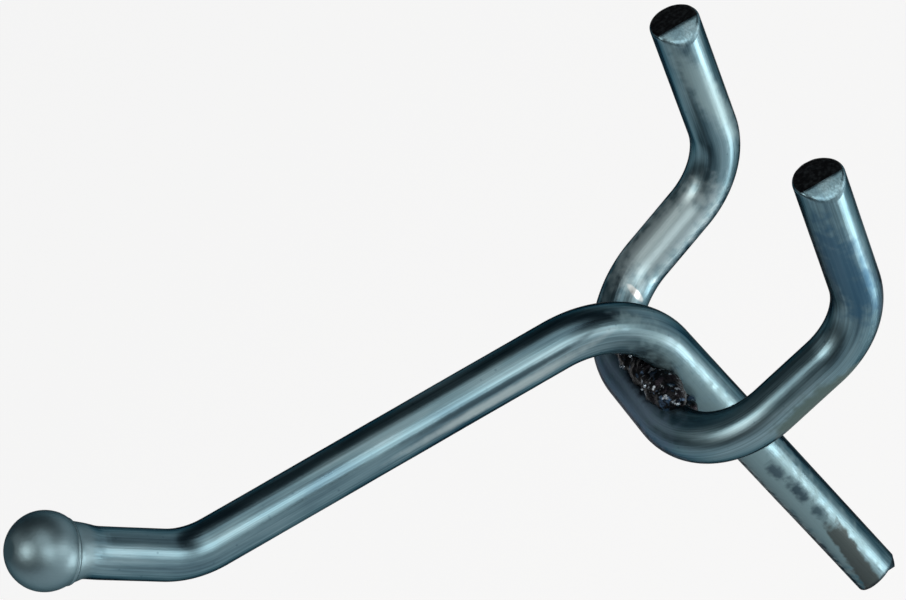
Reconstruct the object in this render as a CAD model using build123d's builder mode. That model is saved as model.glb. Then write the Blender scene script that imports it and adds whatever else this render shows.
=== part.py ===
from build123d import *
import os
from math import cos, radians, sin, sqrt, tan

os.makedirs("parts", exist_ok=True)

# Frame: X = 0 is the front face of the perforated board, +X points out of the board and +Z up.
# The origin is on the mid-plane of the hook, at the height of the crosspiece.
# Lengths are in millimetres and angles in degrees.

# Wire stock: both wires are cut from the same round steel wire
wire_dia = 4.76
wire_radius = wire_dia / 2

# Board: perforated panel with holes on a one-inch grid
board_thickness = 6.35
hole_pitch = 25.4

# Hook wire: a leg that hangs against the board, an arm and an upturned tip that ends in a ball
leg_below = 40.6
leg_corner_height = 10.8
leg_shear_angle = 9.0
leg_shear_slant = 30.0
leg_shear_break = 0.25
arm_length = 45.6
arm_rise = 15.7
arm_bend_radius = 10.0
tip_length = 14.3
tip_rise = 56.2
tip_bend_radius = 7.0

# Ball: upset on the end of the hook wire, with a front flat, a neck that swells on its inner side and
# a seam behind the ball's widest place
ball_dia = 7.2
ball_flat_dia = 2.0
neck_root_back = 5.2
neck_waist_back = 3.4
neck_waist_dia = 5.06
neck_waist_offset = 0.13
neck_shoulder_back = 1.4
neck_shoulder_dia = 6.6
neck_shoulder_offset = 0.03
seam_back = 2.15
seam_dia = 5.87
seam_offset = 0.09
flash_height = 0.1
flash_width = 0.36

# Prong wire: a staple whose crosspiece lies across the front of the leg and whose prongs go back
# through two holes of the board and turn up behind it
prong_depth = 19.8
prong_rise = 7.5
prong_splay = 5.0
prong_bend_radius = 9.2
upturn_length = 18.8
upturn_lean = 15.0
upturn_bend_radius = 8.1
prong_end_round = 0.35
prong_roll_start = 0.8
prong_roll_angle = 38.0

# Weld: the crosspiece is pressed a little way into the leg, and dabs of weld metal lie in the nooks
# above and below it
weld_set_down = 0.2
upper_dab_radius = 1.9
upper_dab_pitch = 1.35
upper_dab_count = 7
lower_dab_radius = 1.5
lower_dab_pitch = 1.25
lower_dab_count = 5
dab_swell = 0.15
dab_standoff = 0.45

# Hook wire corners, in the mid-plane
leg_x = wire_radius
leg_end = Vector(leg_x, 0, -leg_below)
leg_corner = Vector(leg_x, 0, leg_corner_height)
arm_direction = Vector(cos(radians(arm_rise)), 0, sin(radians(arm_rise)))
tip_direction = Vector(cos(radians(tip_rise)), 0, sin(radians(tip_rise)))
tip_inward = Vector(-sin(radians(tip_rise)), 0, cos(radians(tip_rise)))
arm_corner = leg_corner + arm_direction * arm_length
ball_centre = arm_corner + tip_direction * tip_length
ball_radius = ball_dia / 2

# Prong wire corners: the prongs stand at the hole pitch in the middle of the board's thickness
crosspiece_x = leg_x + wire_dia - weld_set_down
upturn_x = crosspiece_x - prong_depth
prong_corner_y = hole_pitch / 2 - (crosspiece_x + board_thickness / 2) * tan(radians(prong_splay))
upturn_corner_y = prong_corner_y + prong_depth * tan(radians(prong_splay))
upturn_corner_z = prong_depth * tan(radians(prong_rise))
upturn_tip_x = upturn_x - upturn_length * sin(radians(upturn_lean))
upturn_tip_z = upturn_corner_z + upturn_length * cos(radians(upturn_lean))


def prong_half(side):
    """Corner points of one prong, from the crosspiece out to the free tip. side is 1 or -1."""
    return [
        (crosspiece_x, side * prong_corner_y, 0),
        (upturn_x, side * upturn_corner_y, upturn_corner_z),
        (upturn_tip_x, side * upturn_corner_y, upturn_tip_z),
    ]


def weld_dabs(count, pitch, radius, side):
    """Centre and radius of each dab of one bead: side 1 lies above the crosspiece and -1 below it."""
    dabs = []
    for index in range(count):
        along = (index - (count - 1) / 2) * pitch
        swell = dab_swell * (1 if index % 2 else -1)
        dabs.append((Vector(nook_x, along, side * nook_z), radius + swell))
    return dabs


# Prong wire: one continuous bent wire with square ends whose rims are lightly rounded
with BuildPart() as prong_wire:
    with BuildLine():
        prong_path = FilletPolyline(
            *reversed(prong_half(-1)),
            *prong_half(1),
            radius=[upturn_bend_radius, prong_bend_radius, prong_bend_radius, upturn_bend_radius],
        )
    with BuildSketch(Plane(origin=prong_path @ 0, z_dir=prong_path % 0)):
        Circle(wire_radius)
    sweep()
    fillet(prong_wire.faces().filter_by(GeomType.PLANE).edges(), radius=prong_end_round)

    # The shear rolled each end over on its +Y side
    for side in (1, -1):
        roll_plane = Plane(
            origin=prong_half(side)[2],
            x_dir=(0, 1, 0),
            z_dir=(cos(radians(upturn_lean)), 0, sin(radians(upturn_lean))),
        )
        roll_depth = (wire_dia - prong_roll_start) * tan(radians(prong_roll_angle))
        with BuildSketch(roll_plane):
            Polygon(
                (prong_roll_start, 0),
                (wire_dia, -roll_depth),
                (wire_dia, wire_radius),
                (prong_roll_start, wire_radius),
                align=None,
            )
        extrude(amount=wire_dia, both=True, mode=Mode.SUBTRACT)

# Hook wire: leg, arm and tip swept in one go, so the bends are true tangent arcs
with BuildPart() as hook_wire:
    with BuildLine():
        hook_path = FilletPolyline(
            leg_end - Vector(0, 0, wire_dia),
            leg_corner,
            arm_corner,
            ball_centre,
            radius=[arm_bend_radius, tip_bend_radius],
        )
    with BuildSketch(Plane(origin=hook_path @ 0, z_dir=hook_path % 0)):
        Circle(wire_radius)
    sweep()

    # The leg is sheared off at a slant that leaves its front and its -Y side the longer ones
    shear_plane = Plane(
        origin=leg_end,
        x_dir=(1, 0, -tan(radians(leg_shear_angle))),
        z_dir=(tan(radians(leg_shear_angle)), -tan(radians(leg_shear_slant)), 1),
    )
    split(bisect_by=shear_plane, keep=Keep.TOP)
    chamfer(hook_wire.faces().sort_by(Axis.Z)[0].edges(), length=leg_shear_break)

    # Ball: a sphere with a small flat where the heading die struck it
    flat_radius = ball_flat_dia / 2
    flat_height = sqrt(ball_radius**2 - flat_radius**2)
    ball_plane = Plane(origin=ball_centre, x_dir=tip_inward, z_dir=tip_inward.cross(tip_direction))
    with BuildSketch(ball_plane):
        with BuildLine():
            Line((0, -ball_radius), (0, flat_height))
            Line((0, flat_height), (flat_radius, flat_height))
            ThreePointArc((flat_radius, flat_height), (ball_radius, 0), (0, -ball_radius))
        make_face()
    revolve(axis=Axis(ball_centre, tip_direction))

    # Neck: from the round wire it swells, off centre, and runs into the ball's shoulder
    for back, dia, offset in (
        (neck_root_back, wire_dia, 0),
        (neck_waist_back, neck_waist_dia, neck_waist_offset),
        (neck_shoulder_back, neck_shoulder_dia, neck_shoulder_offset),
    ):
        section_centre = ball_centre - tip_direction * back + tip_inward * offset
        with BuildSketch(Plane(origin=section_centre, x_dir=tip_inward, z_dir=tip_direction)):
            Circle(dia / 2)
    loft()

    # Seam: the thin ring of flash that the die's parting face leaves behind the ball
    seam_centre = ball_centre - tip_direction * seam_back + tip_inward * seam_offset
    with BuildSketch(Plane(origin=seam_centre, x_dir=tip_inward, z_dir=tip_direction)):
        Circle(seam_dia / 2 + flash_height)
    extrude(amount=flash_width / 2, both=True)

    # Saddle: the seat that the crosspiece was pressed into
    add(prong_wire.part, mode=Mode.SUBTRACT)

# Weld metal: each bead fills the nook between the leg and the crosspiece and fits both wires
nook_x = (leg_x + crosspiece_x) / 2 + dab_standoff
nook_z = wire_radius - dab_standoff / 2

with BuildPart() as weld_upper:
    for centre, radius in weld_dabs(upper_dab_count, upper_dab_pitch, upper_dab_radius, 1):
        with Locations(centre):
            Sphere(radius)
    add(hook_wire.part, mode=Mode.SUBTRACT)
    add(prong_wire.part, mode=Mode.SUBTRACT)

with BuildPart() as weld_lower:
    for centre, radius in weld_dabs(lower_dab_count, lower_dab_pitch, lower_dab_radius, -1):
        with Locations(centre):
            Sphere(radius)
    add(hook_wire.part, mode=Mode.SUBTRACT)
    add(prong_wire.part, mode=Mode.SUBTRACT)

hook_wire.part.label = "hook_wire"
export_step(hook_wire.part, "parts/hook_wire.step")

prong_wire.part.label = "prong_wire"
export_step(prong_wire.part, "parts/prong_wire.step")

weld_upper.part.label = "weld_upper"
export_step(weld_upper.part, "parts/weld_upper.step")

weld_lower.part.label = "weld_lower"
export_step(weld_lower.part, "parts/weld_lower.step")
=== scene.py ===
"""Dressed model of a single pegboard hook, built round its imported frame.

The hook is zinc-plated steel wire: a hook wire with a leg, an arm and an upset ball, and a staple of
the same wire whose two prongs hold it in the board, joined by a burnt weld. Lengths are in metres and
places are in the frame's own axes: +X out of the board, +Z up, the origin at the crosspiece.
"""

import logging
import math
import random
from dataclasses import dataclass, field
from enum import Enum
from typing import Union

import bmesh
import bpy
from mathutils import Matrix, Quaternion, Vector


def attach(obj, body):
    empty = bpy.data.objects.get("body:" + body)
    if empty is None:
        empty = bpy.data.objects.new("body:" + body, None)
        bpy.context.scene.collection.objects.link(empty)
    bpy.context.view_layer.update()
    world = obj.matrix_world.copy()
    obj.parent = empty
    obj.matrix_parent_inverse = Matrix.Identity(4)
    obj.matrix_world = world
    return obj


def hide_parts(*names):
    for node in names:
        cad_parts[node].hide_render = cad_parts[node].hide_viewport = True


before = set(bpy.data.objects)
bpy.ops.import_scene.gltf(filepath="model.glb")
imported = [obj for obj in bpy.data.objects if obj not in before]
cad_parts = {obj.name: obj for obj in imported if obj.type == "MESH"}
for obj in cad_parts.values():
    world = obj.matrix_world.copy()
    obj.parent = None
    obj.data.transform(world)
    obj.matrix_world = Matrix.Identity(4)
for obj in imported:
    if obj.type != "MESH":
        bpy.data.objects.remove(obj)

LOG = logging.getLogger("hook")
MM = 0.001
WIRE_RADIUS = 2.38 * MM
NOISE_LOW, NOISE_HIGH = 0.3, 0.7  # most values of a noise lie between these
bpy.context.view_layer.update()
NodeTree = bpy.types.NodeTree
Feed = Union[bpy.types.NodeSocket, float, int, bool, str, tuple]


def linear_colour(text: str) -> tuple[float, float, float, float]:
    """Turn an sRGB hex colour into the linear colour that a shader takes.

    Args:
        text: The colour as #rrggbb.

    Returns:
        Linear red, green and blue, and an alpha of 1.
    """
    shares = [int(text[i:i + 2], 16) / 255 for i in (1, 3, 5)]
    linear = [c / 12.92 if c <= 0.04045 else ((c + 0.055) / 1.055) ** 2.4 for c in shares]
    return (*linear, 1.0)


def feed(node: bpy.types.Node, feeds: dict[Union[str, int], Feed]) -> None:
    """Set a node's inputs.

    Args:
        node: The node.
        feeds: For each input, by name or number, a value or the output socket that feeds it.
    """
    for name, value in feeds.items():
        if isinstance(value, bpy.types.NodeSocket):
            node.id_data.links.new(value, node.inputs[name])
        else:
            node.inputs[name].default_value = value


def add_node(tree: NodeTree, kind: str, feeds: dict[Union[str, int], Feed] | None = None,
             stops: tuple[tuple[float, str], ...] = (), **settings: object) -> bpy.types.Node:
    """Add one node to a shader or geometry tree.

    Args:
        tree: The tree that gets the node.
        kind: The node's type name.
        feeds: Its inputs, as in feed.
        stops: A colour ramp's positions and sRGB hex colours, from low to high.
        settings: The node's own properties.

    Returns:
        The new node.
    """
    made = tree.nodes.new(kind)
    for name, value in settings.items():
        setattr(made, name, value)
    feed(made, feeds or {})
    for i, (position, colour) in enumerate(stops):
        marks = made.color_ramp.elements
        mark = marks[i] if i < len(marks) else marks.new(position)
        mark.position, mark.color = position, linear_colour(colour)
    return made


def new_finish(name: str) -> tuple[bpy.types.Material, NodeTree, bpy.types.Node]:
    """Start a finish.

    Args:
        name: The material's name.

    Returns:
        The material, its tree and the shader in it.
    """
    made = bpy.data.materials.new(name)
    made.use_nodes = True
    return made, made.node_tree, made.node_tree.nodes["Principled BSDF"]


def dress(piece: bpy.types.Object, slot: str, *replaced: str) -> None:
    """Fix a finished piece to the object's one body and hide the CAD nodes it stands for.

    Args:
        piece: The finished piece.
        slot: The record's material slot; not used.
        replaced: Names of the CAD nodes that the piece stands for.
    """
    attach(piece, "root")
    if replaced:
        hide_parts(*replaced)
    LOG.info("%s: %d faces", piece.name, len(piece.data.polygons))


class MarkShape(Enum):
    """How the edge of a mark on the metal is drawn."""

    BLOCK = "block"
    BLOB = "blob"


@dataclass(frozen=True)
class Mark:
    """A worn, stained or burnt place, or painted shade or reflection, on the plating: a box or ellipsoid the
    surface runs through.

    Places and half sizes are in millimetres and turns in degrees.
    """

    name: str
    place: tuple[float, float, float]
    half_size: tuple[float, float, float]
    colour: str
    shape: MarkShape = MarkShape.BLOB
    turn: tuple[float, float, float] = (0.0, 0.0, 0.0)
    edge: float = 0.35
    ragged: float = 0.5
    strength: float = 1.0
    roughness: float = 0.5
    oxide: float = 0.0


@dataclass(frozen=True)
class ZincPlate:
    """Bright zinc on drawn low-carbon wire, gone dull and blue-grey.

    The eye gets a soft metal sheen, broken along the wire by the die's draw lines, cloudy blue-grey
    patina and small dark pits.
    """

    name: str
    marks: tuple[Mark, ...]
    plate: str = "#5f7a84"
    pale: str = "#768f98"
    patina: str = "#445c68"
    rim: str = "#020408"
    roughness: float = 0.33
    line_width: float = 0.18 * MM
    line_length: float = 30 * MM
    line_depth: float = 0.013 * MM
    line_tones: tuple[float, float] = (0.7, 1.2)
    cloud_width: float = 1.6 * MM
    cloud_length: float = 11 * MM
    pit_spacing: float = 1.3 * MM
    pit_depth: float = 0.6
    ragged_size: float = 0.9 * MM

    def material(self) -> bpy.types.Material:
        """Build the finish.

        Returns:
            The material, which reads the wire's own grain attribute for its lines.
        """
        made, tree, shader = new_finish(self.name)
        grain = add_node(tree, "ShaderNodeAttribute", attribute_name="grain").outputs["Vector"]
        place = add_node(tree, "ShaderNodeTexCoord").outputs["Object"]
        lines = self.stretched_noise(tree, grain, self.line_width, self.line_length, 3.0)
        clouds = self.stretched_noise(tree, grain, self.cloud_width, self.cloud_length, 4.0)

        stops = ((NOISE_LOW, self.patina), (0.5, self.plate), (NOISE_HIGH, self.pale))
        colour = add_node(tree, "ShaderNodeValToRGB", {"Fac": clouds}, stops).outputs["Color"]
        line_tone = add_node(tree, "ShaderNodeMapRange",
                             {"Value": lines, "From Min": NOISE_LOW, "From Max": NOISE_HIGH,
                              "To Min": self.line_tones[0], "To Max": self.line_tones[1]})
        colour = add_node(tree, "ShaderNodeVectorMath", {0: colour, 1: line_tone.outputs["Result"]},
                          operation="MULTIPLY").outputs["Vector"]
        pits = add_node(tree, "ShaderNodeTexVoronoi", {"Vector": place, "Scale": 1 / self.pit_spacing})
        pit_mask = add_node(tree, "ShaderNodeMapRange",
                            {"Value": pits.outputs["Distance"], "From Min": 0.04, "From Max": 0.12,
                             "To Min": self.pit_depth, "To Max": 0.0})
        colour = add_node(tree, "ShaderNodeMix",
                          {"Factor": pit_mask.outputs["Result"], 6: colour, 7: linear_colour(self.patina)},
                          data_type="RGBA").outputs[2]
        rough = add_node(tree, "ShaderNodeMapRange",
                         {"Value": clouds, "From Min": NOISE_LOW, "From Max": NOISE_HIGH,
                          "To Min": self.roughness - 0.06, "To Max": self.roughness + 0.08}).outputs["Result"]

        ragged = add_node(tree, "ShaderNodeTexNoise",
                          {"Vector": place, "Scale": 1 / self.ragged_size, "Detail": 4.0}).outputs["Fac"]
        metal = 1.0
        for mark in self.marks:
            mask = self.mark_mask(tree, mark, place, ragged)
            if mark.oxide:
                metal = add_node(tree, "ShaderNodeMix",
                                 {"Factor": mask, 2: metal, 3: 1 - mark.oxide}, data_type="FLOAT").outputs[0]
            colour = add_node(tree, "ShaderNodeMix",
                              {"Factor": mask, 6: colour, 7: linear_colour(mark.colour)},
                              data_type="RGBA").outputs[2]
            rough = add_node(tree, "ShaderNodeMix",
                             {"Factor": mask, 2: rough, 3: mark.roughness}, data_type="FLOAT").outputs[0]

        bump = add_node(tree, "ShaderNodeBump",
                        {"Height": lines, "Distance": self.line_depth, "Strength": 1.0})
        feed(shader, {"Base Color": colour, "Roughness": rough, "Normal": bump.outputs["Normal"],
                      "Metallic": metal, "Specular Tint": linear_colour(self.rim)})
        return made

    def stretched_noise(self, tree: NodeTree, grain: bpy.types.NodeSocket, width: float, length: float,
                        detail: float) -> bpy.types.NodeSocket:
        """Add a noise that is narrow round the wire and long along it.

        Args:
            tree: The material's tree.
            grain: The wire's grain coordinates: across, across and along, in metres.
            width: Size of the noise round the wire.
            length: Size of the noise along the wire.
            detail: Octaves of finer noise.

        Returns:
            The noise value.
        """
        scaled = add_node(tree, "ShaderNodeVectorMath",
                          {0: grain, 1: (1 / width, 1 / width, 1 / length)}, operation="MULTIPLY")
        return add_node(tree, "ShaderNodeTexNoise",
                        {"Vector": scaled.outputs["Vector"], "Scale": 1.0, "Detail": detail}).outputs["Fac"]

    def mark_mask(self, tree: NodeTree, mark: Mark, place: bpy.types.NodeSocket,
                  ragged: bpy.types.NodeSocket) -> bpy.types.NodeSocket:
        """Add the nodes that say how far a point lies inside a mark.

        Args:
            tree: The material's tree.
            mark: The mark.
            place: Object coordinates.
            ragged: Noise that breaks up the mark's edge.

        Returns:
            A value from 0 outside the mark to its strength inside.
        """
        local = add_node(tree, "ShaderNodeMapping",
                         {"Vector": place, "Location": tuple(c * MM for c in mark.place),
                          "Rotation": tuple(math.radians(a) for a in mark.turn),
                          "Scale": tuple(c * MM for c in mark.half_size)},
                         vector_type="TEXTURE", label=mark.name).outputs["Vector"]
        if mark.shape is MarkShape.BLOB:
            reach = add_node(tree, "ShaderNodeVectorMath", {0: local}, operation="LENGTH").outputs["Value"]
        else:
            sides = add_node(tree, "ShaderNodeVectorMath", {0: local}, operation="ABSOLUTE").outputs["Vector"]
            split = add_node(tree, "ShaderNodeSeparateXYZ", {0: sides}).outputs
            reach = split[0]
            for side in split[1:]:
                reach = add_node(tree, "ShaderNodeMath", {0: reach, 1: side}, operation="MAXIMUM").outputs[0]
        wander = add_node(tree, "ShaderNodeMath", {0: ragged, 1: 0.5}, operation="SUBTRACT").outputs[0]
        reach = add_node(tree, "ShaderNodeMath", {0: wander, 1: 2 * mark.ragged, 2: reach},
                         operation="MULTIPLY_ADD").outputs[0]
        return add_node(tree, "ShaderNodeMapRange",
                        {"Value": reach, "From Min": 1 - mark.edge, "From Max": 1 + mark.edge,
                         "To Min": mark.strength, "To Max": 0.0},
                        interpolation_type="SMOOTHSTEP").outputs["Result"]


@dataclass(frozen=True)
class ShearedSteel:
    """Bare wire end where the shear cut it: dark, oxidised low-carbon steel.

    The eye gets a dull, nearly black face with a faint tear grain.
    """

    name: str = "sheared_steel"
    dark: str = "#15171a"
    scraped: str = "#3a4044"
    roughness: float = 0.55
    tear: float = 0.35 * MM
    tear_depth: float = 0.05 * MM

    def material(self) -> bpy.types.Material:
        """Build the finish.

        Returns:
            The material.
        """
        made, tree, shader = new_finish(self.name)
        place = add_node(tree, "ShaderNodeTexCoord").outputs["Object"]
        tears = add_node(tree, "ShaderNodeTexNoise",
                         {"Vector": place, "Scale": 1 / self.tear, "Detail": 4.0}).outputs["Fac"]
        stops = ((0.45, self.dark), (0.75, self.scraped))
        colour = add_node(tree, "ShaderNodeValToRGB", {"Fac": tears}, stops).outputs["Color"]
        bump = add_node(tree, "ShaderNodeBump",
                        {"Height": tears, "Distance": self.tear_depth, "Strength": 0.8})
        feed(shader, {"Base Color": colour, "Normal": bump.outputs["Normal"], "Metallic": 1.0,
                      "Roughness": self.roughness})
        return made


@dataclass(frozen=True)
class BurntWeld:
    """Weld metal under a crust of burnt zinc and scale.

    The eye gets a black, lumpy glaze with small wet-looking glints and a few blue and brown heat tints.
    """

    name: str = "burnt_weld"
    crust: str = "#0b0d11"
    tint_blue: str = "#33485f"
    tint_brown: str = "#17151c"
    bare: str = "#8d99a3"
    roughness: float = 0.3
    lump: float = 0.9 * MM
    grit: float = 0.22 * MM
    grit_depth: float = 0.08 * MM

    def material(self) -> bpy.types.Material:
        """Build the finish.

        Returns:
            The material.
        """
        made, tree, shader = new_finish(self.name)
        place = add_node(tree, "ShaderNodeTexCoord").outputs["Object"]
        lumps = add_node(tree, "ShaderNodeTexNoise",
                         {"Vector": place, "Scale": 1 / self.lump, "Detail": 3.0}).outputs["Fac"]
        grit = add_node(tree, "ShaderNodeTexNoise",
                        {"Vector": place, "Scale": 1 / self.grit, "Detail": 3.0}).outputs["Fac"]
        stops = ((0.36, self.tint_brown), (0.44, self.crust), (0.58, self.crust), (0.68, self.tint_blue))
        tints = add_node(tree, "ShaderNodeValToRGB", {"Fac": lumps}, stops).outputs["Color"]
        rough = add_node(tree, "ShaderNodeMapRange",
                         {"Value": grit, "From Min": NOISE_LOW, "From Max": NOISE_HIGH,
                          "To Min": self.roughness - 0.1, "To Max": self.roughness + 0.25})
        scraped = add_node(tree, "ShaderNodeTexNoise",
                           {"Vector": place, "Scale": 1.6 / self.lump, "Detail": 2.0}).outputs["Fac"]
        glint = add_node(tree, "ShaderNodeMapRange",
                         {"Value": scraped, "From Min": 0.62, "From Max": 0.68, "To Min": 0.0, "To Max": 0.9})
        colour = add_node(tree, "ShaderNodeMix",
                          {"Factor": glint.outputs["Result"], 6: tints, 7: linear_colour(self.bare)},
                          data_type="RGBA").outputs[2]
        bump = add_node(tree, "ShaderNodeBump",
                        {"Height": grit, "Distance": self.grit_depth, "Strength": 0.9})
        feed(shader, {"Base Color": colour, "Roughness": rough.outputs["Result"],
                      "Normal": bump.outputs["Normal"], "Metallic": 0.85})
        return made


@dataclass(frozen=True)
class SpatterSteel:
    """Drops of weld metal that froze as they flew off: smooth, bright low-carbon steel.

    The eye gets small hard sparkles on the black crust.
    """

    name: str = "spatter_steel"
    bright: str = "#a9b4ba"
    blued: str = "#5d6f80"
    roughness: float = 0.22
    patch: float = 0.5 * MM

    def material(self) -> bpy.types.Material:
        """Build the finish.

        Returns:
            The material.
        """
        made, tree, shader = new_finish(self.name)
        place = add_node(tree, "ShaderNodeTexCoord").outputs["Object"]
        heat = add_node(tree, "ShaderNodeTexNoise",
                        {"Vector": place, "Scale": 1 / self.patch, "Detail": 1.0}).outputs["Fac"]
        colour = add_node(tree, "ShaderNodeMix",
                          {"Factor": heat, 6: linear_colour(self.blued), 7: linear_colour(self.bright)},
                          data_type="RGBA").outputs[2]
        feed(shader, {"Base Color": colour, "Metallic": 1.0, "Roughness": self.roughness})
        return made


@dataclass(frozen=True)
class StudioPaper:
    """Seamless white background paper: flat, matt and plain, pale all over with the object's soft shadow."""

    name: str = "studio_paper"
    colour: str = "#6a6a6a"
    lift: float = 0.88

    def material(self) -> bpy.types.Material:
        """Build the paper, lifted to white for the rays that see a background.

        Returns:
            The material.
        """
        made, tree, shader = new_finish(self.name)
        rays = add_node(tree, "ShaderNodeLightPath").outputs
        seen = add_node(tree, "ShaderNodeMath", {0: rays["Is Camera Ray"], 1: rays["Is Glossy Ray"]},
                        operation="ADD").outputs[0]
        seen = add_node(tree, "ShaderNodeMath", {0: seen, 1: rays["Is Transmission Ray"]},
                        operation="ADD", use_clamp=True).outputs[0]
        lift = add_node(tree, "ShaderNodeMath", {0: seen, 1: self.lift}, operation="MULTIPLY").outputs[0]
        feed(shader, {"Base Color": linear_colour(self.colour), "Roughness": 1.0, "Specular IOR Level": 0.0,
                      "Emission Color": (1.0, 1.0, 1.0, 1.0), "Emission Strength": lift})
        return made


@dataclass(frozen=True)
class Station:
    """One ring of a swept wire: its centre, its radius and whether it lies on a cut face."""

    centre: Vector
    radius: float
    cut: float = 0.0


@dataclass
class BentPath:
    """The centre line of a bent wire: straight runs joined by tangent arcs."""

    corners: list[Vector]
    bends: list[float]
    step: float = 0.3 * MM
    least_arc_steps: int = 8

    def points(self) -> list[Vector]:
        """Walk the line from its first corner to its last.

        Returns:
            Points along it, evenly spaced on each run and arc, both ends included.
        """
        line = [self.corners[0]]
        trios = zip(self.corners, self.corners[1:], self.corners[2:])
        for (before, corner, after), radius in zip(trios, self.bends):
            back = (before - corner).normalized()
            on = (after - corner).normalized()
            turn = math.pi - back.angle(on)
            reach = radius * math.tan(turn / 2)
            self.walk(line, corner + back * reach)
            centre = corner + (back + on).normalized() * (radius / math.cos(turn / 2))
            spoke = corner + back * reach - centre
            axis = back.cross(-on).normalized()
            count = max(self.least_arc_steps, round(radius * turn / self.step))
            for i in range(1, count + 1):
                line.append(centre + Quaternion(-axis, -turn * i / count) @ spoke)
        self.walk(line, self.corners[-1])
        return line

    def walk(self, line: list[Vector], end: Vector) -> None:
        """Add evenly spaced points in a straight run.

        Args:
            line: The points so far, which the run goes on from.
            end: Where the run ends.
        """
        start = line[-1].copy()
        count = max(1, round((end - start).length / self.step))
        line.extend(start.lerp(end, i / count) for i in range(1, count + 1))


@dataclass
class WireSweep:
    """The Geometry Nodes tree that sweeps a round wire along its stations."""

    skin: bpy.types.Material
    cut: bpy.types.Material
    facets: int = 80
    relief: float = 0.018 * MM
    relief_width: float = 1.6 * MM
    relief_length: float = 7.0 * MM
    relief_span: tuple[float, float] = (0.25, 0.75)
    merge_distance: float = 0.0005 * MM
    cut_threshold: float = 0.9

    def tree(self) -> NodeTree:
        """Build the sweep.

        Returns:
            A geometry tree with named inputs for the wire's facets, relief and finishes.
        """
        made, given = new_tree("wire_sweep", "Stations", {
            "Facets": "Int", "Relief": "Float", "Relief Width": "Float", "Relief Length": "Float",
            "Skin": "Material", "Cut Face": "Material"}, "Wire")

        curve = add_node(made, "GeometryNodeMeshToCurve", {"Mesh": given["Stations"]})
        kept = add_node(made, "GeometryNodeCaptureAttribute", {"Geometry": curve.outputs["Curve"]})
        sources = (
            ("FLOAT", "along", add_node(made, "GeometryNodeSplineParameter").outputs["Length"]),
            ("VECTOR", "centre", add_node(made, "GeometryNodeInputPosition").outputs["Position"]),
            ("VECTOR", "side", add_node(made, "GeometryNodeInputNormal").outputs["Normal"]),
            ("VECTOR", "heading", add_node(made, "GeometryNodeInputTangent").outputs["Tangent"]),
        )
        for kind, name, source in sources:
            kept.capture_items.new(kind, name)
            made.links.new(source, kept.inputs[name])
        ring = add_node(made, "GeometryNodeCurvePrimitiveCircle",
                        {"Resolution": given["Facets"], "Radius": 1.0})
        radius = add_node(made, "GeometryNodeInputNamedAttribute", {"Name": "station_radius"},
                          data_type="FLOAT")
        swept = add_node(made, "GeometryNodeCurveToMesh",
                         {"Curve": kept.outputs["Geometry"], "Profile Curve": ring.outputs["Curve"],
                          "Scale": radius.outputs["Attribute"], "Fill Caps": False})

        here = add_node(made, "GeometryNodeInputPosition").outputs["Position"]
        offset = add_node(made, "ShaderNodeVectorMath", {0: here, 1: kept.outputs["centre"]},
                          operation="SUBTRACT").outputs["Vector"]
        other = add_node(made, "ShaderNodeVectorMath", {0: kept.outputs["heading"], 1: kept.outputs["side"]},
                         operation="CROSS_PRODUCT").outputs["Vector"]
        across = add_node(made, "ShaderNodeVectorMath", {0: offset, 1: kept.outputs["side"]},
                          operation="DOT_PRODUCT").outputs["Value"]
        beside = add_node(made, "ShaderNodeVectorMath", {0: offset, 1: other},
                          operation="DOT_PRODUCT").outputs["Value"]
        grain = add_node(made, "ShaderNodeCombineXYZ", {0: across, 1: beside, 2: kept.outputs["along"]})
        stored = add_node(made, "GeometryNodeStoreNamedAttribute",
                          {"Geometry": swept.outputs["Mesh"], "Name": "grain",
                           "Value": grain.outputs["Vector"]}, data_type="FLOAT_VECTOR", domain="POINT")

        fine = add_node(made, "ShaderNodeCombineXYZ",
                        {0: given["Relief Width"], 1: given["Relief Width"], 2: given["Relief Length"]})
        scaled = add_node(made, "ShaderNodeVectorMath",
                          {0: grain.outputs["Vector"], 1: fine.outputs["Vector"]}, operation="DIVIDE")
        noise = add_node(made, "ShaderNodeTexNoise",
                         {"Vector": scaled.outputs["Vector"], "Scale": 1.0, "Detail": 2.0})
        height = add_node(made, "ShaderNodeMapRange",
                          {"Value": noise.outputs["Fac"], "From Min": self.relief_span[0],
                           "From Max": self.relief_span[1], "To Min": -1.0, "To Max": 0.0})
        height = add_node(made, "ShaderNodeMath", {0: height.outputs["Result"], 1: given["Relief"]},
                          operation="MULTIPLY").outputs[0]
        outward = add_node(made, "ShaderNodeVectorMath", {0: offset}, operation="NORMALIZE").outputs["Vector"]
        push = add_node(made, "ShaderNodeVectorMath", {0: outward, "Scale": height}, operation="SCALE")
        on_cut = add_node(made, "GeometryNodeInputNamedAttribute", {"Name": "cut"}, data_type="FLOAT")
        inside = add_node(made, "FunctionNodeCompare",
                          {0: on_cut.outputs["Attribute"], 1: self.cut_threshold},
                          data_type="FLOAT", operation="GREATER_THAN")
        bare = {"Selection": inside.outputs["Result"], "Material": given["Cut Face"]}
        wire = stored.outputs["Geometry"]
        for kind, feeds in (("GeometryNodeSetPosition", {"Offset": push.outputs["Vector"]}),
                            ("GeometryNodeMergeByDistance", {"Distance": self.merge_distance}),
                            ("GeometryNodeSetShadeSmooth", {}), ("GeometryNodeRealizeInstances", {}),
                            ("GeometryNodeSetMaterial", {"Material": given["Skin"]}),
                            ("GeometryNodeSetMaterial", bare)):
            wire = add_node(made, kind, {"Geometry": wire, **feeds}).outputs["Geometry"]
        add_node(made, "NodeGroupOutput", {"Wire": wire})
        return made

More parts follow.
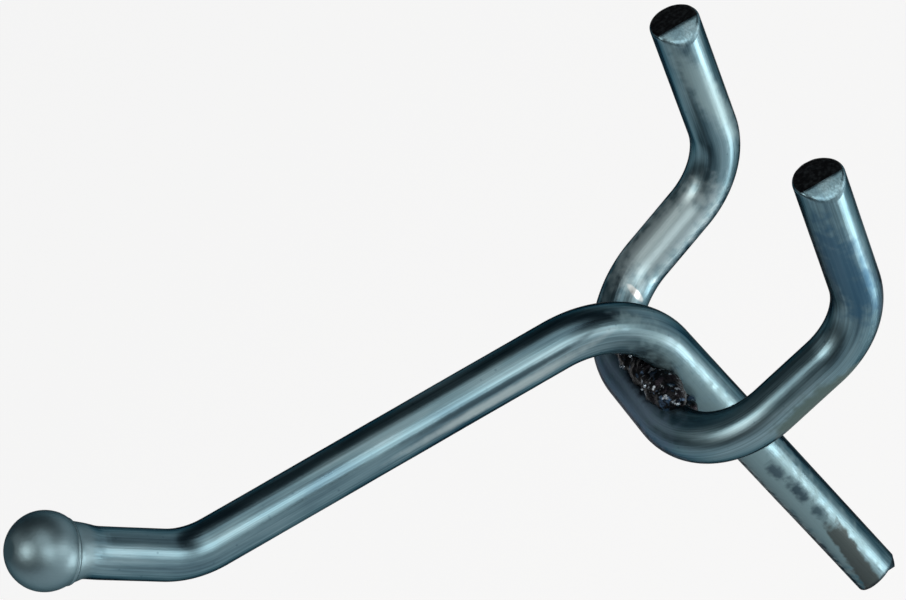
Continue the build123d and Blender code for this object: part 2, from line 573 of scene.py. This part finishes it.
    def sweep(self, name: str, stations: list[Station]) -> bpy.types.Object:
        """Sweep the wire along its stations and turn the result into a plain mesh.

        Args:
            name: The piece's name.
            stations: The rings, from one end of the wire to the other.

        Returns:
            The piece, at the origin, with the wire's place in its mesh.
        """
        line = bpy.data.meshes.new(name + "_line")
        line.from_pydata([s.centre for s in stations], [(i, i + 1) for i in range(len(stations) - 1)], [])
        line.attributes.new("station_radius", "FLOAT", "POINT").data.foreach_set(
            "value", [s.radius for s in stations])
        line.attributes.new("cut", "FLOAT", "POINT").data.foreach_set("value", [s.cut for s in stations])
        inputs = {"Facets": self.facets, "Relief": self.relief, "Relief Width": self.relief_width,
                  "Relief Length": self.relief_length, "Skin": self.skin, "Cut Face": self.cut}
        return grow(name, line, self.tree(), inputs)


def new_tree(name: str, start: str, inputs: dict[str, str],
             result: str) -> tuple[NodeTree, bpy.types.NodeOutputs]:
    """Start a geometry tree with named inputs.

    Args:
        name: The tree's name.
        start: Name of the geometry input, which comes first.
        inputs: Name and kind of each further input, such as Float or Material.
        result: Name of the geometry output.

    Returns:
        The tree, and what its inputs give.
    """
    made = bpy.data.node_groups.new(name, "GeometryNodeTree")
    for label, kind in {start: "Geometry", **inputs}.items():
        made.interface.new_socket(label, in_out="INPUT", socket_type="NodeSocket" + kind)
    made.interface.new_socket(result, in_out="OUTPUT", socket_type="NodeSocketGeometry")
    return made, add_node(made, "NodeGroupInput").outputs


def grow(name: str, start: bpy.types.Mesh, tree: NodeTree, inputs: dict[str, object]) -> bpy.types.Object:
    """Run a geometry tree on a mesh and keep the result as a plain mesh whose faces point outwards.

    Args:
        name: The piece's name.
        start: The mesh that the tree begins from.
        tree: The geometry tree.
        inputs: A value for each of the tree's named inputs.

    Returns:
        The piece, with no modifier left on it.
    """
    carrier = bpy.data.objects.new(name + "_carrier", start)
    bpy.context.scene.collection.objects.link(carrier)
    modifier = carrier.modifiers.new("grow", "NODES")
    modifier.node_group = tree
    sockets = {s.name: s.identifier for s in tree.interface.items_tree if s.in_out == "INPUT"}
    for label, value in inputs.items():
        modifier[sockets[label]] = value
    bpy.context.view_layer.update()
    evaluated = carrier.evaluated_get(bpy.context.evaluated_depsgraph_get())
    mesh = bpy.data.meshes.new_from_object(evaluated)
    mesh.name = name
    bpy.data.objects.remove(carrier)
    piece = bpy.data.objects.new(name, mesh)
    bpy.context.scene.collection.objects.link(piece)
    work = bmesh.new()
    work.from_mesh(mesh)
    if work.calc_volume(signed=True) < 0:
        bmesh.ops.reverse_faces(work, faces=work.faces)
    work.to_mesh(mesh)
    work.free()
    return piece


def face_stations(edge: Vector, heading: Vector, radius: float, rounding: float,
                  crown: float = 0.02 * MM, rings: int = 10) -> list[Station]:
    """Rings over the end of a wire, from the tangent edge of its rounding to the middle of its face.

    Args:
        edge: Centre of the ring where the rounding starts.
        heading: Direction out of the wire.
        radius: The wire's radius.
        rounding: Radius of the rounding on the face's rim.
        crown: How far the middle of the face stands proud of its rim.
        rings: Rings on the rounding, and again on the face.

    Returns:
        The rings, outwards and then inwards.
    """
    made = []
    for i in range(1, rings + 1):
        angle = math.pi / 2 * i / rings
        made.append(Station(edge + heading * rounding * math.sin(angle),
                            radius - rounding * (1 - math.cos(angle)), float(i > rings / 2)))
    flat = radius - rounding
    for i in range(1, rings + 1):
        share = 1 - i / rings
        rise = crown * (1 - share ** 2)
        made.append(Station(edge + heading * (rounding + rise), flat * share, 1.0))
    return made


@dataclass(frozen=True)
class ShearCut:
    """How a shear left a wire's end: slanted, rolled over on its +Y side and a little ragged."""

    rise_x: float = 0.0
    rise_y: float = 0.0
    roll_start: float = 0.8 * MM
    roll_angle: float = 38.0
    roll_reach: float = 1.58 * MM
    roll_curve: float = 1.6
    reach: float = 5.0 * MM
    side_reach: float = 3.0 * MM
    face_reach: float = 4.0 * MM
    burr: float = 0.12 * MM
    burr_count: int = 26
    burr_length: float = 0.6 * MM
    burr_spread: tuple[float, float] = (-0.4, 1.0)
    burr_falloff: int = 6
    tooth_turn: float = 140.0
    tooth_width: float = 22.0
    tooth_height: float = 0.0
    seed: int = 1

    def apply(self, piece: bpy.types.Object, end: Vector, outward: Vector) -> None:
        """Slide the points near a square end along the wire until the end has the cut's shape.

        Args:
            piece: The swept wire.
            end: The middle of the square end.
            outward: Direction of the wire there, out of the end.
        """
        if self.roll_angle:
            self.crease(piece, end)
        draw = random.Random(self.seed)
        lip = [draw.uniform(*self.burr_spread) ** 3 for _ in range(self.burr_count)]
        front = Vector((1, 0, 0)) - outward * outward.x
        front.normalize()
        for vertex in piece.data.vertices:
            local = vertex.co - end
            back = -local.dot(outward)
            across = local + outward * back
            if back > self.reach or across.length > self.side_reach:
                continue
            weight = min(1.0, 1 - back / self.reach)
            weight = weight * weight * (3 - 2 * weight)
            over = max(0.0, across.y - self.roll_start) / self.roll_reach
            over = self.roll_reach * over ** self.roll_curve
            slide = (across.dot(front) * math.tan(math.radians(self.rise_x))
                     + across.y * math.tan(math.radians(self.rise_y))
                     - over * math.tan(math.radians(self.roll_angle)))
            turn = (math.atan2(across.y, across.dot(front)) / math.tau) % 1 * self.burr_count
            low, high = lip[int(turn) % self.burr_count], lip[(int(turn) + 1) % self.burr_count]
            rim = min(1.0, across.length / WIRE_RADIUS) ** self.burr_falloff
            rim *= max(0.0, 1 - back / self.burr_length)
            off_tooth = abs((turn / self.burr_count * 360 - self.tooth_turn + 180) % 360 - 180)
            tooth = self.tooth_height * max(0.0, 1 - off_tooth / self.tooth_width)
            lift = ((low + (high - low) * (turn % 1)) * self.burr + tooth) * rim
            vertex.co += outward * (slide * weight + lift)

    def crease(self, piece: bpy.types.Object, end: Vector) -> None:
        """Part the cut face along the line where the roll starts, and plate the rolled side.

        Args:
            piece: The swept wire.
            end: The middle of the square end.
        """
        bare = piece.data.materials.find(ShearedSteel.name)
        line = end + Vector((0, self.roll_start, 0))
        work = bmesh.new()
        work.from_mesh(piece.data)
        face = [f for f in work.faces
                if f.material_index == bare and (f.calc_center_median() - end).length < self.face_reach]
        rims = list(dict.fromkeys(e for f in face for e in f.edges))
        dots = list(dict.fromkeys(v for f in face for v in f.verts))
        bmesh.ops.bisect_plane(work, geom=dots + rims + face, plane_co=line,
                               plane_no=Vector((0, 1, 0)), dist=1e-7)
        for part in work.faces:
            middle = part.calc_center_median()
            near = (middle - end).length < self.face_reach
            if part.material_index == bare and middle.y > line.y and near:
                part.material_index = 1 - bare  # the wire's other finish
        for side in work.edges:
            if len({f.material_index for f in side.link_faces}) > 1:
                side.smooth = False
        work.to_mesh(piece.data)
        work.free()


@dataclass
class HookWire:
    """The hook wire: leg, arm, upturned tip and the ball upset on its end."""

    wire_radius: float = WIRE_RADIUS
    leg_below: float = 40.6 * MM
    leg_corner_height: float = 10.8 * MM
    leg_shear_break: float = 0.25 * MM
    leg_cut: ShearCut = ShearCut(rise_x=9.0, rise_y=-30.0, roll_angle=0.0, tooth_height=0.9 * MM, seed=7)
    arm_length: float = 45.6 * MM
    arm_rise: float = math.radians(15.7)
    arm_bend_radius: float = 10.0 * MM
    tip_length: float = 14.3 * MM
    tip_rise: float = math.radians(56.2)
    tip_bend_radius: float = 7.0 * MM
    ball_radius: float = 3.6 * MM
    ball_flat_radius: float = 1.0 * MM
    neck_root_back: float = 5.2 * MM
    neck_waist_back: float = 3.4 * MM
    neck_waist_radius: float = 2.53 * MM
    neck_waist_offset: float = 0.13 * MM
    neck_shoulder_back: float = 1.4 * MM
    neck_shoulder_radius: float = 3.3 * MM
    seam_back: float = 2.15 * MM
    flash_height: float = 0.1 * MM
    flash_width: float = 0.36 * MM
    head_step: float = 0.06 * MM
    flat_crown: float = 0.03 * MM
    flat_rings: int = 8

    def head_station(self, centre: Vector, heading: Vector, inward: Vector, back: float) -> Station:
        """Make the ring of the head at a distance behind the ball's centre.

        Args:
            centre: The ball's centre.
            heading: Direction of the tip.
            inward: Direction towards the arm's inner side.
            back: Distance behind the ball's centre, below 0 in front of it.

        Returns:
            The ring round the wire, the neck or the ball, whichever is largest there.
        """
        swell = self.neck_shoulder_radius - self.wire_radius
        reach = self.neck_root_back - self.neck_shoulder_back
        waist_share = (self.neck_root_back - self.neck_waist_back) / reach
        steepness = math.log((self.neck_waist_radius - self.wire_radius) / swell) / math.log(waist_share)
        share = max(0.0, (self.neck_root_back - back) / reach)
        ball = math.sqrt(max(0.0, self.ball_radius ** 2 - back ** 2))
        neck = self.wire_radius + swell * share ** steepness if back > self.neck_shoulder_back else 0.0
        spread = (back - self.neck_waist_back) / MM
        offset = self.neck_waist_offset * math.exp(-spread * spread)
        rise = max(0.0, 1 - (2 * (back - self.seam_back) / self.flash_width) ** 2)
        return Station(centre - heading * back + inward * offset,
                       max(ball, neck) + self.flash_height * math.sqrt(rise))

    def stations(self) -> list[Station]:
        """List the wire's rings, from the middle of the leg's cut face to the middle of the ball's flat.

        Returns:
            The rings in order.
        """
        leg_x = self.wire_radius
        end = Vector((leg_x, 0, -self.leg_below))
        corner = Vector((leg_x, 0, self.leg_corner_height))
        arm = Vector((math.cos(self.arm_rise), 0, math.sin(self.arm_rise)))
        tip = Vector((math.cos(self.tip_rise), 0, math.sin(self.tip_rise)))
        inward = Vector((-math.sin(self.tip_rise), 0, math.cos(self.tip_rise)))
        elbow = corner + arm * self.arm_length
        ball = elbow + tip * self.tip_length
        down = Vector((0, 0, -1))

        edge = end - down * self.leg_shear_break
        rings = face_stations(edge, down, self.wire_radius, self.leg_shear_break)[::-1]
        neck_start = ball - tip * (self.neck_root_back + self.head_step)
        path = BentPath([edge, corner, elbow, neck_start], [self.arm_bend_radius, self.tip_bend_radius])
        rings += [Station(p, self.wire_radius) for p in path.points()]

        flat = math.sqrt(self.ball_radius ** 2 - self.ball_flat_radius ** 2)
        count = round((self.neck_root_back + flat) / self.head_step)
        for i in range(count):
            back = self.neck_root_back - (self.neck_root_back + flat) * i / count
            rings.append(self.head_station(ball, tip, inward, back))
        for i in range(self.flat_rings + 1):
            share = 1 - i / self.flat_rings
            crown = self.flat_crown * (1 - share ** 2)
            rings.append(Station(ball + tip * (flat + crown), self.ball_flat_radius * share))
        return rings

    def build(self, sweep: WireSweep) -> bpy.types.Object:
        """Sweep the wire and dress it.

        Args:
            sweep: The wire's sweep, with its finishes.

        Returns:
            The finished piece.
        """
        piece = sweep.sweep("hook_wire_body", self.stations())
        self.leg_cut.apply(piece, Vector((self.wire_radius, 0, -self.leg_below)), Vector((0, 0, -1)))
        dress(piece, "zinc_plated_wire", "hook_wire")
        return piece


@dataclass
class ProngWire:
    """The staple: a crosspiece in front of the leg and two prongs that go back and turn up."""

    wire_radius: float = WIRE_RADIUS
    set_down: float = 0.2 * MM
    board_thickness: float = 6.35 * MM
    hole_pitch: float = 25.4 * MM
    prong_depth: float = 19.8 * MM
    prong_rise: float = math.radians(7.5)
    prong_splay: float = math.radians(5.0)
    prong_bend_radius: float = 9.2 * MM
    upturn_length: float = 18.8 * MM
    upturn_lean: float = math.radians(15.0)
    upturn_bend_radius: float = 8.1 * MM
    end_round: float = 0.35 * MM

    @property
    def crosspiece_x(self) -> float:
        """How far the crosspiece's axis stands in front of the board."""
        return 3 * self.wire_radius - self.set_down

    def half(self, side: int) -> list[Vector]:
        """List the corners of one prong, from the crosspiece out to its tip.

        Args:
            side: 1 or -1, for the prong at +Y or -Y.

        Returns:
            Three corners.
        """
        splay = math.tan(self.prong_splay)
        corner_y = self.hole_pitch / 2 - (self.crosspiece_x + self.board_thickness / 2) * splay
        upturn_y = corner_y + self.prong_depth * splay
        upturn_x = self.crosspiece_x - self.prong_depth
        upturn_z = self.prong_depth * math.tan(self.prong_rise)
        tip_x = upturn_x - self.upturn_length * math.sin(self.upturn_lean)
        tip_z = upturn_z + self.upturn_length * math.cos(self.upturn_lean)
        return [Vector((self.crosspiece_x, side * corner_y, 0)),
                Vector((upturn_x, side * upturn_y, upturn_z)),
                Vector((tip_x, side * upturn_y, tip_z))]

    def stations(self) -> list[Station]:
        """List the wire's rings, from the middle of one prong's end face to the other's.

        Returns:
            The rings in order.
        """
        corners = self.half(-1)[::-1] + self.half(1)
        first = (corners[0] - corners[1]).normalized()
        last = (corners[-1] - corners[-2]).normalized()
        corners[0] -= first * self.end_round
        corners[-1] -= last * self.end_round
        bends = [self.upturn_bend_radius, self.prong_bend_radius]
        cap = (self.wire_radius, self.end_round)
        rings = face_stations(corners[0], first, *cap)[::-1]
        path = BentPath(corners, bends + bends[::-1])
        rings += [Station(p, self.wire_radius) for p in path.points()]
        return rings + face_stations(corners[-1], last, *cap)

    def build(self, sweep: WireSweep) -> bpy.types.Object:
        """Sweep the wire and dress it.

        Args:
            sweep: The wire's sweep, with its finishes.

        Returns:
            The finished piece.
        """
        piece = sweep.sweep("prong_wire_body", self.stations())
        for side in (-1, 1):
            corner, tip = self.half(side)[1:]
            ShearCut(seed=side + 5).apply(piece, tip, (tip - corner).normalized())
        dress(piece, "zinc_plated_wire", "prong_wire")
        return piece


@dataclass
class WeldBead:
    """Weld metal in a nook between the leg and the crosspiece: a row of dabs that ran together."""

    name: str
    node: str
    side: int
    radius: float
    pitch: float
    count: int
    swell: float = 0.15 * MM
    nook_x: float = 5.11 * MM
    nook_z: float = 2.155 * MM
    grid: float = 0.16 * MM
    skin_threshold: float = 0.1
    lump_height: float = 0.8 * MM
    lump_size: float = 1.1 * MM
    lump_level: float = 0.55
    spatter_size: float = 0.19 * MM
    spatter_scale: tuple[float, float] = (0.4, 1.2)
    spatter_density: float = 0.14
    spatter_seed: int = 11
    spatter_size_seed: int = 5
    seed: int = 3

    def tree(self) -> NodeTree:
        """Build the bead: the dabs melted into one mass and roughened by slag.

        Returns:
            A geometry tree with named inputs for the bead's grid, lumps and finish.
        """
        made, given = new_tree("weld_bead", "Dabs", {
            "Grid": "Float", "Lump Height": "Float", "Lump Size": "Float", "Seed": "Float",
            "Spatter Size": "Float", "Spatter Density": "Float", "Finish": "Material",
            "Spatter": "Material"}, "Bead")
        dabs = add_node(made, "GeometryNodeMeshToPoints", {"Mesh": given["Dabs"]})
        radius = add_node(made, "GeometryNodeInputNamedAttribute", {"Name": "dab_radius"}, data_type="FLOAT")
        volume = add_node(made, "GeometryNodePointsToVolume",
                          {"Points": dabs.outputs["Points"], "Voxel Size": given["Grid"],
                           "Radius": radius.outputs["Attribute"]}, resolution_mode="VOXEL_SIZE")
        crust = add_node(made, "GeometryNodeVolumeToMesh",
                         {"Volume": volume.outputs["Volume"], "Voxel Size": given["Grid"],
                          "Threshold": self.skin_threshold}, resolution_mode="VOXEL_SIZE")
        here = add_node(made, "GeometryNodeInputPosition").outputs["Position"]
        scaled = add_node(made, "ShaderNodeVectorMath", {0: here, 1: given["Lump Size"]}, operation="DIVIDE")
        noise = add_node(made, "ShaderNodeTexNoise",
                         {"Vector": scaled.outputs["Vector"], "W": given["Seed"], "Scale": 1.0, "Detail": 4.0,
                          "Roughness": 0.6}, noise_dimensions="4D")
        height = add_node(made, "ShaderNodeMath", {0: noise.outputs["Fac"], 1: self.lump_level},
                          operation="SUBTRACT")
        height = add_node(made, "ShaderNodeMath", {0: height.outputs[0], 1: given["Lump Height"]},
                          operation="MULTIPLY")
        outward = add_node(made, "GeometryNodeInputNormal").outputs["Normal"]
        push = add_node(made, "ShaderNodeVectorMath", {0: outward, "Scale": height.outputs[0]},
                        operation="SCALE")
        rough = add_node(made, "GeometryNodeSetPosition",
                         {"Geometry": crust.outputs["Mesh"], "Offset": push.outputs["Vector"]})
        smooth = add_node(made, "GeometryNodeSetShadeSmooth", {"Geometry": rough.outputs["Geometry"]})
        crusted = add_node(made, "GeometryNodeSetMaterial",
                           {"Geometry": smooth.outputs["Geometry"], "Material": given["Finish"]})
        spots = add_node(made, "GeometryNodeDistributePointsOnFaces",
                         {"Mesh": smooth.outputs["Geometry"], "Density": given["Spatter Density"],
                          "Seed": self.spatter_seed})
        drop = add_node(made, "GeometryNodeMeshIcoSphere",
                        {"Radius": given["Spatter Size"], "Subdivisions": 3})
        round_drop = add_node(made, "GeometryNodeSetShadeSmooth", {"Geometry": drop.outputs["Mesh"]})
        bright = add_node(made, "GeometryNodeSetMaterial",
                          {"Geometry": round_drop.outputs["Geometry"], "Material": given["Spatter"]})
        size = add_node(made, "FunctionNodeRandomValue",
                        {2: self.spatter_scale[0], 3: self.spatter_scale[1],
                         "Seed": self.spatter_size_seed}, data_type="FLOAT")
        spatter = add_node(made, "GeometryNodeInstanceOnPoints",
                           {"Points": spots.outputs["Points"], "Instance": bright.outputs["Geometry"],
                            "Scale": size.outputs[1]})
        both = add_node(made, "GeometryNodeJoinGeometry", {"Geometry": crusted.outputs["Geometry"]})
        made.links.new(spatter.outputs["Instances"], both.inputs["Geometry"])
        whole = add_node(made, "GeometryNodeRealizeInstances", {"Geometry": both.outputs["Geometry"]})
        add_node(made, "NodeGroupOutput", {"Bead": whole.outputs["Geometry"]})
        return made

    def build(self, finish: bpy.types.Material, spatter: bpy.types.Material) -> bpy.types.Object:
        """Melt the dabs together and dress the bead.

        Args:
            finish: The burnt weld's finish.
            spatter: The finish of the bright drops on it.

        Returns:
            The finished piece.
        """
        centres, radii = [], []
        for i in range(self.count):
            along = (i - (self.count - 1) / 2) * self.pitch
            centres.append((self.nook_x, along, self.side * self.nook_z))
            radii.append(self.radius + self.swell * (1 if i % 2 else -1))
        dabs = bpy.data.meshes.new(self.name + "_dabs")
        dabs.from_pydata(centres, [], [])
        dabs.attributes.new("dab_radius", "FLOAT", "POINT").data.foreach_set("value", radii)
        inputs = {"Grid": self.grid, "Lump Height": self.lump_height, "Lump Size": self.lump_size,
                  "Seed": float(self.seed), "Spatter Size": self.spatter_size,
                  "Spatter Density": self.spatter_density / MM ** 2, "Finish": finish, "Spatter": spatter}
        piece = grow(self.name, dabs, self.tree(), inputs)
        dress(piece, "burnt_weld", self.node)
        return piece


def bearing(azimuth: float, elevation: float) -> Vector:
    """Turn an azimuth and an elevation in degrees into a direction away from the object.

    Args:
        azimuth: Degrees round from -Y towards +X.
        elevation: Degrees above the floor.

    Returns:
        A vector of length 1.
    """
    round_z, up = math.radians(azimuth), math.radians(elevation)
    return Vector((math.sin(round_z) * math.cos(up), -math.cos(round_z) * math.cos(up), math.sin(up)))


@dataclass(frozen=True)
class Softbox:
    """A square lamp with a diffuser, placed round the object and turned to face it."""

    name: str
    azimuth: float
    elevation: float
    distance: float
    width: float
    height: float
    radiance: float
    colour: str = "#ffffff"

    def build(self, target: Vector) -> None:
        """Hang the lamp.

        Args:
            target: The point that the lamp faces.
        """
        outward = bearing(self.azimuth, self.elevation)
        data = bpy.data.lights.new(self.name, "AREA")
        data.shape = "RECTANGLE"
        data.size, data.size_y = self.width, self.height
        data.energy = self.radiance * math.pi * self.width * self.height
        data.color = linear_colour(self.colour)[:3]
        lamp = bpy.data.objects.new(self.name, data)
        lamp.matrix_world = (Matrix.Translation(target + outward * self.distance)
                             @ outward.to_track_quat("Z", "Y").to_matrix().to_4x4())
        lamp.visible_camera = False
        bpy.context.scene.collection.objects.link(lamp)


@dataclass
class Studio:
    """Camera, lamps, room and paper floor."""

    lamps: tuple[Softbox, ...]
    target: Vector = field(default_factory=lambda: Vector((14.56, -13.48, 12.81)) * MM)
    camera_azimuth: float = -174.99
    camera_elevation: float = 42.97
    camera_roll: float = -44.67
    camera_distance: float = 358.54 * MM
    focal_length: float = 153.2
    sensor_width: float = 36.0
    clip_near: float = 0.01
    clip_far: float = 100.0
    floor_drop: float = 420 * MM
    floor_radius: float = 3.6
    cove_height: float = 0.9
    cove_steps: int = 10
    cove_sides: int = 64
    room: str = "#1d2b33"

    def build(self) -> None:
        """Set up the paper, the room's light, the lamps and the camera."""
        self.lay_paper()
        world = bpy.data.worlds.new("studio_room")
        world.use_nodes = True
        world.node_tree.nodes["Background"].inputs["Color"].default_value = linear_colour(self.room)
        bpy.context.scene.world = world
        for lamp in self.lamps:
            lamp.build(self.target)
        bpy.context.scene.view_settings.view_transform = "Standard"
        self.place_camera()

    def lay_paper(self) -> None:
        """Lay a round sheet of paper under the object, its rim turned up into a low cove."""
        profile = [(self.floor_radius, 0.0)]
        for i in range(1, self.cove_steps + 1):
            angle = math.pi / 2 * i / self.cove_steps
            profile.append((self.floor_radius + self.cove_height * math.sin(angle),
                            self.cove_height * (1 - math.cos(angle))))
        dots = [Vector((0, 0, -self.floor_drop))]
        for radius, rise in profile:
            for i in range(self.cove_sides):
                turn = math.tau * i / self.cove_sides
                dots.append(Vector((radius * math.cos(turn), radius * math.sin(turn),
                                    rise - self.floor_drop)))
        count = self.cove_sides
        faces = [(0, 1 + i, 1 + (i + 1) % count) for i in range(count)]
        for ring in range(self.cove_steps):
            low, high = 1 + ring * count, 1 + (ring + 1) * count
            faces += [(low + i, high + i, high + (i + 1) % count, low + (i + 1) % count)
                      for i in range(count)]
        sheet = bpy.data.meshes.new("paper_floor")
        sheet.from_pydata(dots, [], faces)
        sheet.shade_smooth()
        sheet.materials.append(StudioPaper().material())
        floor = bpy.data.objects.new("paper_floor", sheet)
        bpy.context.scene.collection.objects.link(floor)

    def place_camera(self) -> None:
        """Stand the camera where the photograph was taken from, turned about its own axis as it was."""
        back = bearing(self.camera_azimuth, self.camera_elevation)
        data = bpy.data.cameras.new("camera")
        data.lens, data.sensor_width = self.focal_length, self.sensor_width
        data.clip_start, data.clip_end = self.clip_near, self.clip_far
        camera = bpy.data.objects.new("camera", data)
        camera.rotation_mode = "QUATERNION"
        camera.location = self.target + back * self.camera_distance
        roll = Quaternion((0, 0, 1), math.radians(self.camera_roll))
        camera.rotation_quaternion = (-back).to_track_quat("-Z", "Y") @ roll
        bpy.context.scene.collection.objects.link(camera)
        bpy.context.scene.camera = camera


LAMPS = (
    Softbox("key_softbox", 112, 57, 0.60, 0.24, 0.24, 9.0, "#fff3ea"),
    Softbox("camera_softbox", 196, 30, 0.70, 0.34, 0.38, 5.6, "#fff8f2"),
    Softbox("top_softbox", 237, 62, 0.60, 0.40, 0.40, 1.8, "#fff8f2"),
    Softbox("side_softbox", 225, 0, 0.50, 0.20, 0.22, 4.5, "#fff5ee"),
    Softbox("low_softbox", 219, -44, 0.42, 0.15, 0.15, 11.0, "#fff5ee"),
    Softbox("fill_softbox", 40, 40, 0.80, 0.36, 0.36, 0.6, "#fff8f2"),
)

ARM_TURN = (0.0, -15.7, 0.0)
HOOK_MARKS = (
    Mark("ball_dull", (54.2, 0.0, 35.0), (4.4, 4.4, 4.4), "#6b828a", edge=0.08,
         ragged=0.05, strength=0.9, roughness=0.47),
    Mark("leg_dull", (3.0, 1.6, -17.0), (1.9, 1.6, 27.0), "#6f8b93",
         edge=0.4, ragged=0.8, strength=0.9, roughness=0.48, oxide=0.55),
    Mark("leg_wear", (2.95, 2.4, -34.6), (0.8, 1.6, 6.4), "#3b403f",
         shape=MarkShape.BLOCK, turn=(0.0, -5.5, 0.0), edge=0.2, ragged=0.45, strength=0.85,
         roughness=0.55, oxide=0.4),
    *(Mark(name, place, size, colour, edge=0.7, ragged=1.3, strength=strength)
      for name, place, size, colour, strength in (
          ("leg_stain_high", (2.8, 2.34, -16.9), (0.55, 0.9, 1.4), "#344854", 0.9),
          ("leg_stain_mid", (2.5, 2.37, -21.0), (0.55, 0.9, 1.8), "#263a46", 0.9),
          ("leg_stain_low", (2.4, 2.37, -25.3), (0.5, 0.9, 1.2), "#2c414c", 0.85))),
    Mark("leg_cut_edge", (2.38, 0.0, -40.8), (3.4, 3.6, 0.5), "#1b262d",
         shape=MarkShape.BLOCK, turn=(30.0, 9.0, 0.0), edge=0.4, ragged=0.5, strength=0.9),
    # Dark line along the arm's +Y face: mostly a painted dark band between the highlight and the lower
    # reflection, with a faint real score.
    Mark("arm_score_and_painted_dark_band", (15.4, 2.3, 15.5), (9.0, 1.0, 0.25), "#2d3e47",
         turn=ARM_TURN, edge=0.5, ragged=0.3, strength=0.85),
    # Pale, dulled band along the arm's +Y face: a painted reflection line, the second bright band below the
    # highlight.
    Mark("arm_painted_reflection_band", (16.1, 2.2, 14.75), (9.0, 1.0, 0.45), "#9db0b5",
         turn=ARM_TURN, edge=0.5, ragged=0.3, strength=0.8, roughness=0.5, oxide=0.5),
    # Black patch on the leg in the nook above the crosspiece: partly heat-blackened zinc, partly painted
    # shade under the arm bend.
    Mark("leg_burn_and_shade", (5.4, 0.3, 1.7), (2.0, 3.4, 2.6), "#10141a",
         edge=0.28, ragged=0.45, roughness=0.42),
)
PRONG_MARKS = (
    Mark("prong_wear", (-5.0, 15.1, 0.4), (5.2, 1.3, 1.7), "#4b5f5e",
         edge=0.3, ragged=0.5, roughness=0.62, strength=0.92, oxide=0.75),
    Mark("prong_haze", (-15.7, -11.2, 13.0), (1.2, 1.0, 8.5), "#86a1a8",
         edge=0.6, ragged=0.7, roughness=0.45, strength=0.75, oxide=0.55),
    Mark("prong_rub", (-4.0, -11.4, 3.4), (6.0, 2.4, 2.6), "#a0b5bb",
         edge=0.5, ragged=0.8, roughness=0.42, strength=0.75, oxide=0.35),
    Mark("prong_blue", (-13.6, 15.6, 13.0), (2.4, 1.5, 8.0), "#2d5068",
         edge=0.5, ragged=0.9, roughness=0.4, strength=0.8, oxide=0.45),
    Mark("bend_score", (1.5, -9.5, 1.7), (0.3, 1.0, 1.0), "#b9c2c4",
         edge=0.3, ragged=0.3, roughness=0.3),
    Mark("crosspiece_heat", (8.0, -0.5, 0.8), (2.6, 8.0, 3.0), "#586b80",
         edge=0.7, ragged=1.3, strength=0.75, roughness=0.38, oxide=0.35),
    # Black patch on the crosspiece's top in the nook by the leg: partly heat-blackened zinc, partly painted
    # shade under the arm bend.
    Mark("crosspiece_burn_and_shade", (4.7, 0.6, 2.3), (2.3, 4.8, 1.5), "#10141a",
         edge=0.28, ragged=0.45, roughness=0.42),
)


def main() -> None:
    """Build every sub-assembly in order."""
    logging.basicConfig(level=logging.INFO, format="%(name)s: %(message)s")
    cut = ShearedSteel().material()
    burnt = BurntWeld().material()
    spatter = SpatterSteel().material()
    HookWire().build(WireSweep(ZincPlate("zinc_plate_hook", HOOK_MARKS).material(), cut))
    ProngWire().build(WireSweep(ZincPlate("zinc_plate_prongs", PRONG_MARKS).material(), cut))
    WeldBead("weld_bead_upper", "weld_upper", 1, 1.7 * MM, 1.35 * MM, 7).build(burnt, spatter)
    WeldBead("weld_bead_lower", "weld_lower", -1, 1.45 * MM, 1.25 * MM, 5, seed=5).build(burnt, spatter)
    Studio(LAMPS).build()


if __name__ == "__main__":
    main()
